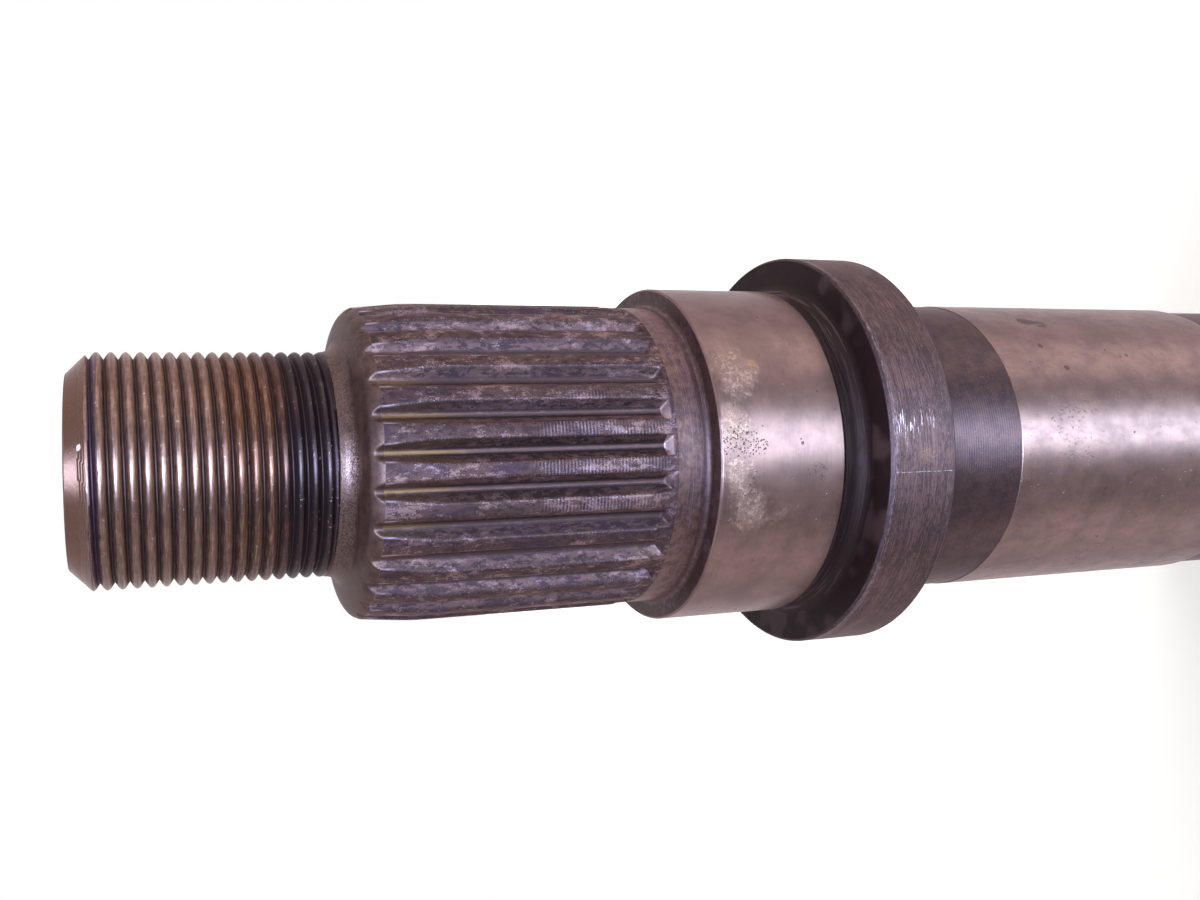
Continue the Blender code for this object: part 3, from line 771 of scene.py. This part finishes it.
def spline_steel():
    """Heat-treated spline steel: brown and dark violet scale worn to lilac-grey in small patches, fine
    turning marks on the lands, paler as a painted highlight on the side that faces the camera, painted shade
    in the corners of the roots, flanks painted lighter, painted highlights at the foot of the nose and on
    the run-outs, and yellow oil where the roots begin."""
    f = Finish("spline_steel")
    depth = f.attribute("depth")
    aside = f.attribute("aside")
    edge = f.between(f.attribute("edge"), 0.006, 0.03)
    wide = f.noise(4 * MM, (1.0, 1.0, 0.4), 3.0, shift=5.1)
    patch = f.noise(1.1 * MM, (1.0, 1.0, 0.5), 8.0, 0.72)
    fine = f.noise(0.22 * MM, detail=4.0, roughness=0.6, shift=2.2)
    spots = f.noise(0.7 * MM, (1.0, 1.0, 0.5), 6.0, 0.7, 6.6)
    bare = f.between(patch + wide * 0.4 + fine * 0.4, 0.93, 1.05)
    dark = f.between(spots - wide * 0.3 + fine * 0.3, 0.48, 0.55)
    blue = f.between(f.noise(3 * MM, (1.0, 1.0, 0.5), 3.0, shift=9.3), 0.45, 0.65)
    land = 1.0 - f.between(depth, 0.03, 0.16)
    # Painted shade: the corners where the flanks meet the root are darkened.
    corner = f.band(depth, 0.86, 0.995, 0.12) * f.between(aside, 0.14, 0.34)
    root = (1.0 - f.between(aside, 0.14, 0.30)) * f.between(depth, 0.2, 0.4)
    # The turning marks' pale colour is a painted highlight, only on the lands on the side that faces the
    # camera.
    turned = land * f.between(f.near(-2.0, TIP_RADIUS, 141 * MM, 15 * MM) + wide * 0.5, 0.4, 0.8)
    broken = f.noise(1.8 * MM, detail=4.0, roughness=0.6, shift=3.4)
    marks = f.between(f.ripple(0.48 * MM, 1.0), 0.3, 0.9) * turned
    marks = marks * f.between(broken + fine * 0.5, 0.55, 1.0)
    oil_and_darker_side = f.between(f.near(2.0, ROOT_RADIUS, 171 * MM, 17 * MM), 0.0, 0.55)
    # Painted light: the flanks are made lighter, standing in for light that the teeth keep from them.
    flank = f.between(depth, 0.15, 0.45) * (1.0 - corner)
    colour = f.mix(wide, rgb(40, 26, 28), rgb(60, 41, 39))
    colour = f.mix(flank * 0.5, colour, rgb(88, 66, 67))
    colour = f.mix(dark * 0.9, colour, f.mix(blue, rgb(26, 14, 16), rgb(30, 17, 32)))
    colour = f.mix(bare * 0.6, colour, f.mix(blue, rgb(118, 92, 92), rgb(116, 96, 112)))
    colour = f.mix(f.between(fine, 0.64, 0.72) * 0.3, colour, rgb(138, 118, 126))
    colour = f.mix(marks * 0.42, colour, rgb(144, 122, 142))
    colour = f.mix(oil_and_darker_side * (1.0 - land) * 0.5, colour, rgb(66, 48, 34))
    colour = f.mix(corner * 0.85, colour, f.mix(fine, rgb(24, 14, 16), rgb(44, 29, 31)))
    colour = f.mix(root * 0.9, colour, f.mix(oil_and_darker_side, rgb(60, 44, 44), rgb(92, 68, 40)))
    colour = f.mix(edge * f.between(fine, 0.5, 0.62) * 0.3, colour, rgb(150, 130, 142))
    # Painted highlights: a pale band at the foot of the nose and pale land edges just below it.
    start = f.band(f.z, NOSE_FOOT - 0.10 * MM, NOSE_FOOT + 0.06 * MM, 0.05 * MM)
    colour = f.mix(start * f.between(fine, 0.38, 0.54) * 0.7, colour, rgb(178, 158, 176))
    painted_edge_highlight = edge * f.between(f.z, NOSE_FOOT - 2.6 * MM, NOSE_FOOT - 0.4 * MM)
    colour = f.mix(painted_edge_highlight * 0.5, colour, rgb(178, 158, 176))
    # Painted glints on the run-outs of the tooth spaces, on the side that faces the camera.
    painted_runout_glint = f.band(f.z, SPACE_END - 0.1 * MM, SPACE_END + 1.0 * MM, 0.1 * MM) * (1.0 - land)
    painted_runout_glint = painted_runout_glint * f.between(f.near(5.0, ROOT_RADIUS, SPACE_END, 9 * MM), 0.15, 0.9)
    colour = f.mix(painted_runout_glint * (f.between(patch, 0.3, 0.5) * 0.5 + fine * 0.4), colour, rgb(176, 146, 150))
    roughness = 0.5 + fine * 0.18 - bare * 0.08 - marks * 0.14 - root * 0.08 - painted_runout_glint * 0.1
    normal = f.bump(marks, 0.01 * MM, under=f.bump((patch + fine * 0.5) * (1.0 - painted_runout_glint), 0.05 * MM))
    return f.steel(colour, roughness, normal, 0.36, (0.72, 0.50, 0.55, 1.0), 0.3)


def turned_steel():
    """Plain turned steel between spline and seat, dark, with clear rings left by the tool and painted shade
    at the shoulder.
    """
    f = Finish("turned_steel")
    rings = f.noise(0.16 * MM, (0.02, 0.02, 1.0), 4.0, 0.6)
    patch = f.noise(1.2 * MM, detail=7.0, roughness=0.7)
    fine = f.noise(0.25 * MM, (0.4, 0.4, 1.0), detail=4.0, shift=7.2)
    # Painted shade: patchy darkening at the shoulder fillet.
    shoulder = 1.0 - f.between(f.z, 125.6 * MM, 126.6 * MM)
    ringed = 1.0 - f.between(f.z + patch * MM, 128.2 * MM, 130 * MM)
    colour = f.mix(f.between(patch, 0.40, 0.60), rgb(62, 43, 45), rgb(88, 64, 63))
    colour = f.mix(f.between(rings, 0.50, 0.66) * ringed * 0.45, colour, rgb(112, 90, 108))
    colour = f.mix(f.between(fine, 0.55, 0.7) * 0.35, colour, rgb(118, 96, 94))
    colour = f.mix(shoulder * f.between(patch, 0.36, 0.60) * 0.8, colour, rgb(36, 23, 26))
    normal = f.bump(rings, 0.02 * MM, under=f.bump(patch, 0.06 * MM))
    return f.steel(colour, 0.38 + patch * 0.10, normal, metallic=0.3, shine=0.3)


def relief_steel():
    """The grinding relief and its fillet: nearly black and matt, with a little dust."""
    f = Finish("relief_steel")
    rings = f.noise(0.3 * MM, (0.03, 0.03, 1.0), 2.0)
    dust = f.between(f.noise(1.6 * MM, detail=6.0, roughness=0.65), 0.5, 0.72)
    grain = f.noise(0.25 * MM, detail=3.0, shift=2.4)
    colour = f.mix(dust * 0.22, rgb(24, 14, 17), rgb(46, 32, 34))
    colour = f.mix(f.between(grain, 0.6, 0.75) * 0.2, colour, rgb(76, 56, 56))
    outer = f.between(f.z, 101.9 * MM, 101.97 * MM) * f.between(rings, 0.52, 0.62)
    colour = f.mix(outer * 0.3, colour, rgb(90, 74, 82))
    normal = f.bump(grain, 0.002 * MM)
    roughness = 0.52 + dust * 0.10 + grain * 0.06
    return f.steel(colour, roughness, normal, 0.0, (1.0, 0.66, 0.68, 1.0), 0.10)


def rim_steel():
    """The collar's rim: close scratches round it with painted glints where the highlight falls, painted
    shade on its chamfer, one rust stain and one scratch along the shaft."""
    f = Finish("rim_steel")
    scratches = f.noise(0.12 * MM, (0.035, 0.035, 1.0), 4.0, 0.7)
    long_marks = f.noise(0.3 * MM, (0.02, 0.02, 1.0), 3.0, shift=4.2)
    grain = f.noise(0.22 * MM, (0.25, 0.25, 1.0), 5.0, 0.72, 1.1)
    crumbs = f.noise(0.2 * MM, detail=4.0, roughness=0.65, shift=8.2)
    wide = f.noise(3 * MM, (0.6, 0.6, 1.0), 5.0, 0.6, 2.9)
    # Painted glints: pale streaks only where the highlight falls on the rim.
    painted_highlight_area = f.near(5.0, COLLAR_RADIUS, 99.8 * MM, 4.2 * MM)
    painted_highlight_area = painted_highlight_area + f.near(7.0, COLLAR_RADIUS, 95.4 * MM, 3.4 * MM) * 0.8
    streaks = f.noise(0.16 * MM, (0.06, 0.06, 1.0), 2.0, shift=7.9)
    painted_glint = f.between(streaks + crumbs * 0.2 + painted_highlight_area * 0.12, 0.78, 0.86) * f.between(painted_highlight_area, 0.05, 0.5)
    rust = f.between(f.near(-2.8, COLLAR_RADIUS, 96.2 * MM, 2.6 * MM) + (crumbs - 0.5) * 2.4, 0.5, 0.9)
    colour = f.mix(f.between(grain + wide * 0.6, 0.66, 0.98), rgb(40, 27, 30), rgb(74, 53, 54))
    colour = f.mix(f.between(long_marks, 0.5, 0.62) * 0.7, colour, rgb(38, 25, 28))
    colour = f.mix(f.between(scratches, 0.54, 0.66) * 0.42, colour, rgb(108, 86, 94))
    colour = f.mix(f.between(crumbs, 0.60, 0.70) * 0.4, colour, rgb(116, 92, 92))
    colour = f.mix(painted_glint * 0.55, colour, rgb(190, 174, 190))
    colour = f.mix(rust * 0.22, colour, rgb(126, 94, 82))
    line_y = math.sin(CAMERA_AZIMUTH + math.radians(-6.9)) * COLLAR_RADIUS
    wavy = f.y + (wide - 0.5) * (0.3 * MM)
    line = f.band(wavy, line_y - 0.02 * MM, line_y + 0.02 * MM, 0.05 * MM) * f.between(f.x, 0.0, 0.01)
    dashes = f.between(f.noise(0.5 * MM, detail=2.0, shift=3.3) + crumbs * 0.4, 0.66, 0.78)
    scratch = line * f.band(f.z, 92.2 * MM, 101.2 * MM, 0.2 * MM) * (dashes * 0.32 + 0.04)
    colour = f.mix(scratch, colour, rgb(190, 170, 178))
    edge = f.between(f.attribute("edge"), 0.008, 0.03)
    rim_lines = f.between(f.z, 100.6 * MM, 101.2 * MM) * f.between(long_marks, 0.44, 0.5) * 0.5
    colour = f.mix((edge * 0.12 + rim_lines) * f.between(grain, 0.4, 0.6) * 0.7, colour, rgb(136, 118, 132))
    # Painted shade: the rim's chamfer towards the relief is darkened.
    corner = f.between(f.z, 101.45 * MM, 101.6 * MM)
    colour = f.mix(corner * 0.7, colour, rgb(36, 25, 28))
    roughness = 0.42 + grain * 0.14 - painted_glint * 0.1
    normal = f.bump(scratches, 0.015 * MM, under=f.bump(long_marks, 0.01 * MM))
    return f.steel(colour, roughness, normal, metallic=0.5, shine=0.35)


def blackened_steel():
    """The dark band behind the collar: finely turned and blackened, browner in places, with a painted
    highlight on the turning marks where the highlight falls.
    """
    f = Finish("blackened_steel")
    marks = f.ripple(0.42 * MM, 0.6)
    patch = f.noise(2.4 * MM, detail=7.0, roughness=0.65, shift=7.7)
    grain = f.noise(0.3 * MM, detail=4.0, shift=0.6)
    # Painted highlight: the turning marks are paler only where the highlight falls.
    painted_highlight_area = f.between(f.near(3.0, BLACK_BAND_RADIUS, 80 * MM, 11 * MM) + grain * 0.3, 0.3, 0.8)
    colour = f.mix(f.between(patch, 0.35, 0.65), rgb(42, 29, 36), rgb(58, 41, 43))
    colour = f.mix(f.between(grain, 0.55, 0.7) * 0.25, colour, rgb(96, 76, 78))
    colour = f.mix(f.between(marks, 0.3, 0.95) * painted_highlight_area * 0.17, colour, rgb(100, 82, 98))
    normal = f.bump(marks * painted_highlight_area, 0.005 * MM, under=f.bump(grain, 0.01 * MM))
    return f.steel(colour, 0.32 + grain * 0.10, normal, metallic=0.5, shine=0.3)


def shank_steel():
    """The inner shank: as turned and darkened, with faint marks."""
    f = Finish("shank_steel")
    marks = f.noise(0.3 * MM, (0.03, 0.03, 1.0), 3.0)
    patch = f.noise(3 * MM, detail=7.0, roughness=0.65, shift=9.1)
    colour = f.mix(f.between(patch, 0.4, 0.65), rgb(52, 38, 42), rgb(72, 53, 53))
    colour = f.mix(f.between(marks, 0.52, 0.68) * 0.3, colour, rgb(98, 80, 84))
    normal = f.bump(marks, 0.012 * MM)
    return f.steel(colour, 0.34 + patch * 0.1, normal)


def thread_steel():
    """The nut thread: bronze-brown with fine streaks, darker towards -y, rusty in a ring and blackened
    towards the spline, with crests painted lighter, painted shade in the grooves, painted light on one flank
    of each crest and a painted highlight in a dent. Its first turn is dark, its chamfer clean and its end
    face dull."""
    f = Finish("thread_steel")
    depth = f.attribute("depth")
    height = f.z + f.noise(6 * MM, detail=3.0) * (3 * MM)
    rust = f.band(height, 182.5 * MM, 188 * MM, 3 * MM)
    black = 1.0 - f.between(height, 180.5 * MM, 184.5 * MM)
    bright = f.between(f.z, 203.9 * MM, 204.1 * MM)
    first = f.band(f.z, 202.7 * MM, 203.6 * MM, 0.2 * MM)
    patch = f.noise(1.2 * MM, (1.0, 1.0, 0.6), 6.0, 0.65)
    fine = f.noise(0.25 * MM, (0.5, 0.5, 1.0), 4.0, shift=4.4)
    streaks = f.noise(0.13 * MM, (0.07, 0.07, 1.0), 3.0, 0.6, 5.3)
    crest = 1.0 - f.between(depth, 0.10, 0.45)
    # Painted light: one flank of each crest is warmer and lighter.
    painted_flank_light = f.band(f.attribute("phase"), -0.30, -0.16, 0.06) * f.between(depth, 0.05, 0.2)
    nicks = f.between(f.noise(0.3 * MM, detail=3.0, shift=2.7), 0.62, 0.70)
    nicks = nicks * f.between(patch, 0.45, 0.6) * crest
    # A dent, with a painted highlight in it.
    dent_and_painted_highlight = f.between(f.near(11.0, 14.7 * MM, 204.7 * MM, 0.7 * MM) + fine * 1.1, 0.75, 1.1)
    # Darker towards -y.
    oil_and_darker_side = f.between(f.y * -1.0 + patch * (6 * MM), 4 * MM, 9 * MM)
    colour = f.mix(f.between(patch, 0.35, 0.65), rgb(74, 49, 42), rgb(96, 68, 60))
    colour = f.mix(rust * 0.92, colour, rgb(70, 36, 18))
    colour = f.mix(oil_and_darker_side * 0.6, colour, rgb(44, 26, 20))
    colour = f.mix(black, colour, rgb(28, 18, 23))
    # Painted highlight: the crests are lighter.
    colour = f.mix(crest * (1.0 - black) * (1.0 - rust) * 0.2, colour, rgb(112, 84, 78))
    colour = f.mix(painted_flank_light * (1.0 - black) * 0.35, colour, rgb(138, 98, 74))
    colour = f.mix(f.between(streaks, 0.50, 0.66) * 0.45, colour, rgb(46, 29, 27))
    colour = f.mix(f.between(streaks, 0.50, 0.36) * (1.0 - black) * 0.35, colour, rgb(140, 110, 98))
    # Painted shade: darker deeper in the grooves.
    colour = f.mix(f.between(depth, 0.42, 0.85) * 0.85, colour, rgb(28, 16, 17))
    colour = f.mix(first * 0.6, colour, rgb(38, 24, 44))
    colour = f.mix(bright, colour, f.mix(fine, rgb(84, 58, 48), rgb(102, 74, 63)))
    face = f.between(f.z, 206.3 * MM, 206.4 * MM)
    colour = f.mix(face, colour, f.mix(f.between(patch, 0.4, 0.6), rgb(58, 40, 37), rgb(78, 56, 50)))
    colour = f.mix(nicks * 0.5, colour, rgb(196, 176, 186))
    colour = f.mix(dent_and_painted_highlight, colour, rgb(226, 206, 232))
    normal = f.bump(fine * 0.6 + patch - nicks - dent_and_painted_highlight + streaks * 0.5, 0.02 * MM)
    roughness = 0.28 + patch * 0.10 + (1.0 - crest) * 0.18 - bright * 0.25 + face * 0.34
    return f.steel(colour, roughness, normal, metallic=0.6, film=crest * (0.3 - black * 0.27 - rust * 0.12))


def floor_white():
    """A pale floor that camera, mirror and glass rays see as white, and that takes a faint shadow. Its
    glow is weaker round the foot, where the shadow falls, than near its edge."""
    f = Finish("floor_white")
    kinds = ("Is Camera Ray", "Is Glossy Ray", "Is Transmission Ray")
    rays = [f.node("ShaderNodeLightPath", output=kind) for kind in kinds]
    away = f.node("ShaderNodeVectorMath", {"operation": "LENGTH"}, {0: f.place}, "Value")
    glow = f.between(away, FLOOR_HALF * 0.3, FLOOR_HALF * 0.9) * (1.0 - FLOOR_GLOW) + FLOOR_GLOW
    white = f.mix(glow, (0.0, 0.0, 0.0, 1.0), (1.0, 1.0, 1.0, 1.0))
    seen = f.mix(rays[0] + rays[1] + rays[2], (0.0, 0.0, 0.0, 1.0), white)
    values = {"Base Color": (0.52, 0.52, 0.53, 1.0), "Roughness": 0.9, "Specular IOR Level": 0.0}
    values |= {"Emission Color": seen, "Emission Strength": 1.0}
    f.end(f.node("ShaderNodeBsdfPrincipled", {}, values))
    return f.material


def build_floor():
    """A wide pale floor under the shaft, as a flat grid. The camera is so close that the shaft mirrors
    what is below the floor, so the floor lets those rays through to the white surround and the lamps."""
    x, y = np.meshgrid([-FLOOR_HALF, FLOOR_HALF], [-FLOOR_HALF, FLOOR_HALF])
    points = np.stack([x, y, np.full_like(x, -FLOOR_SINK)], axis=-1).reshape(-1, 3)
    faces = np.array([[0, 1, 3, 2]])
    floor = make_mesh("floor", points, [(faces, 0)], [floor_white()], {})
    floor.visible_glossy = False
    floor.visible_shadow = False


def build_world():
    """A white surround for camera, mirror and glass rays, and an even soft light for the rest."""
    world = bpy.data.worlds.new("studio")
    bpy.context.scene.world = world
    world.use_nodes = True
    nodes, links = world.node_tree.nodes, world.node_tree.links
    nodes.clear()
    path = nodes.new("ShaderNodeLightPath")
    shown = path.outputs["Is Camera Ray"]
    for kind in ("Is Glossy Ray", "Is Transmission Ray"):
        higher = nodes.new("ShaderNodeMath")
        higher.operation = "MAXIMUM"
        links.new(shown, higher.inputs[0])
        links.new(path.outputs[kind], higher.inputs[1])
        shown = higher.outputs[0]
    strength = nodes.new("ShaderNodeMapRange")
    strength.inputs["To Min"].default_value = SOFT_LIGHT
    strength.inputs["To Max"].default_value = 1.0
    links.new(shown, strength.inputs["Value"])
    background = nodes.new("ShaderNodeBackground")
    background.inputs["Color"].default_value = (1.0, 1.0, 1.0, 1.0)
    links.new(strength.outputs[0], background.inputs["Strength"])
    output = nodes.new("ShaderNodeOutputWorld")
    links.new(background.outputs[0], output.inputs["Surface"])


def add_lamp(name, angle, lift, half_angle, aim, length, radiance, colour, mirrored):
    """A soft lamp that faces the axis at the height of its aim from LAMP_DISTANCE.

    The angle is in degrees from the camera's side, positive towards the top of the photo, and the
    lift is in degrees above the level. Half the lamp's width is the distance times the tangent of
    the half angle. A mirrored lamp shows in the steel as a long highlight, and any other lamp only
    lights its matt share.
    """
    data = bpy.data.lights.new(name, "AREA")
    data.shape = "RECTANGLE"
    data.size = 2 * LAMP_DISTANCE * math.tan(math.radians(half_angle))
    data.size_y = length
    data.energy = 4 * radiance * data.size * data.size_y
    data.color = colour
    lamp = bpy.data.objects.new(name, data)
    bpy.context.scene.collection.objects.link(lamp)
    lamp.visible_camera = False
    lamp.visible_diffuse = not mirrored
    lamp.visible_glossy = mirrored
    turn, rise = CAMERA_AZIMUTH + math.radians(angle), math.radians(lift)
    sideways = np.array([-math.sin(turn), math.cos(turn), 0.0])
    level = np.array([math.cos(turn), math.sin(turn), 0.0])
    outwards = level * math.cos(rise) + np.array([0.0, 0.0, math.sin(rise)])
    columns = np.stack([sideways, np.cross(outwards, sideways), outwards], axis=1)
    place = outwards * LAMP_DISTANCE + np.array([0.0, 0.0, aim])
    lamp.matrix_world = Matrix.Translation(place) @ Matrix(columns.tolist()).to_4x4()


def add_lamps():
    """The long highlight beside the camera, a lower one for the thread and a short one above the shaft
    for the thread's chamfer, a faint sheen on both sides, and two fills that only light matt shares."""
    for lamp in LAMPS:
        add_lamp(*lamp)


def add_camera():
    """The photo's camera: it looks across the axis, turned towards the collar, lying on its side."""
    data = bpy.data.cameras.new("photo_camera")
    data.sensor_width = SENSOR_WIDTH
    data.lens = FOCAL_PIXELS * SENSOR_WIDTH / PHOTO_WIDTH
    data.shift_x = (PHOTO_WIDTH / 2 - CENTRE_X) / PHOTO_WIDTH
    data.shift_y = (CENTRE_Y - PHOTO_HEIGHT / 2) / PHOTO_WIDTH
    data.clip_start = 0.01
    camera = bpy.data.objects.new("photo_camera", data)
    bpy.context.scene.collection.objects.link(camera)
    towards = (math.cos(CAMERA_AZIMUTH), math.sin(CAMERA_AZIMUTH), 0.0)
    photo_up = (-math.sin(CAMERA_AZIMUTH), math.cos(CAMERA_AZIMUTH), 0.0)
    base = Matrix([(0.0, 0.0, -1.0), photo_up, towards]).transposed().to_4x4()
    turns = Matrix.Rotation(-CAMERA_YAW, 4, "Y") @ Matrix.Rotation(-CAMERA_PITCH, 4, "X")
    turns = turns @ Matrix.Rotation(-CAMERA_ROLL, 4, "Z")
    place = (towards[0] * CAMERA_DISTANCE, towards[1] * CAMERA_DISTANCE, CAMERA_HEIGHT)
    camera.matrix_world = Matrix.Translation(place) @ base @ turns
    bpy.context.scene.camera = camera


def main():
    """Builds the shaft's surface around the solid, then the floor, light and camera."""
    body_finishes = [
        nose_steel(),
        spline_steel(),
        turned_steel(),
        ground_steel(),
        relief_steel(),
        rim_steel(),
        blackened_steel(),
        shank_steel(),
    ]
    for piece in (build_threaded_end([thread_steel()]), build_shaft_body(body_finishes)):
        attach(piece, "root")
        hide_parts(NODE)
    build_floor()
    build_world()
    add_lamps()
    add_camera()
    bpy.context.scene.view_settings.view_transform = "Standard"


main()
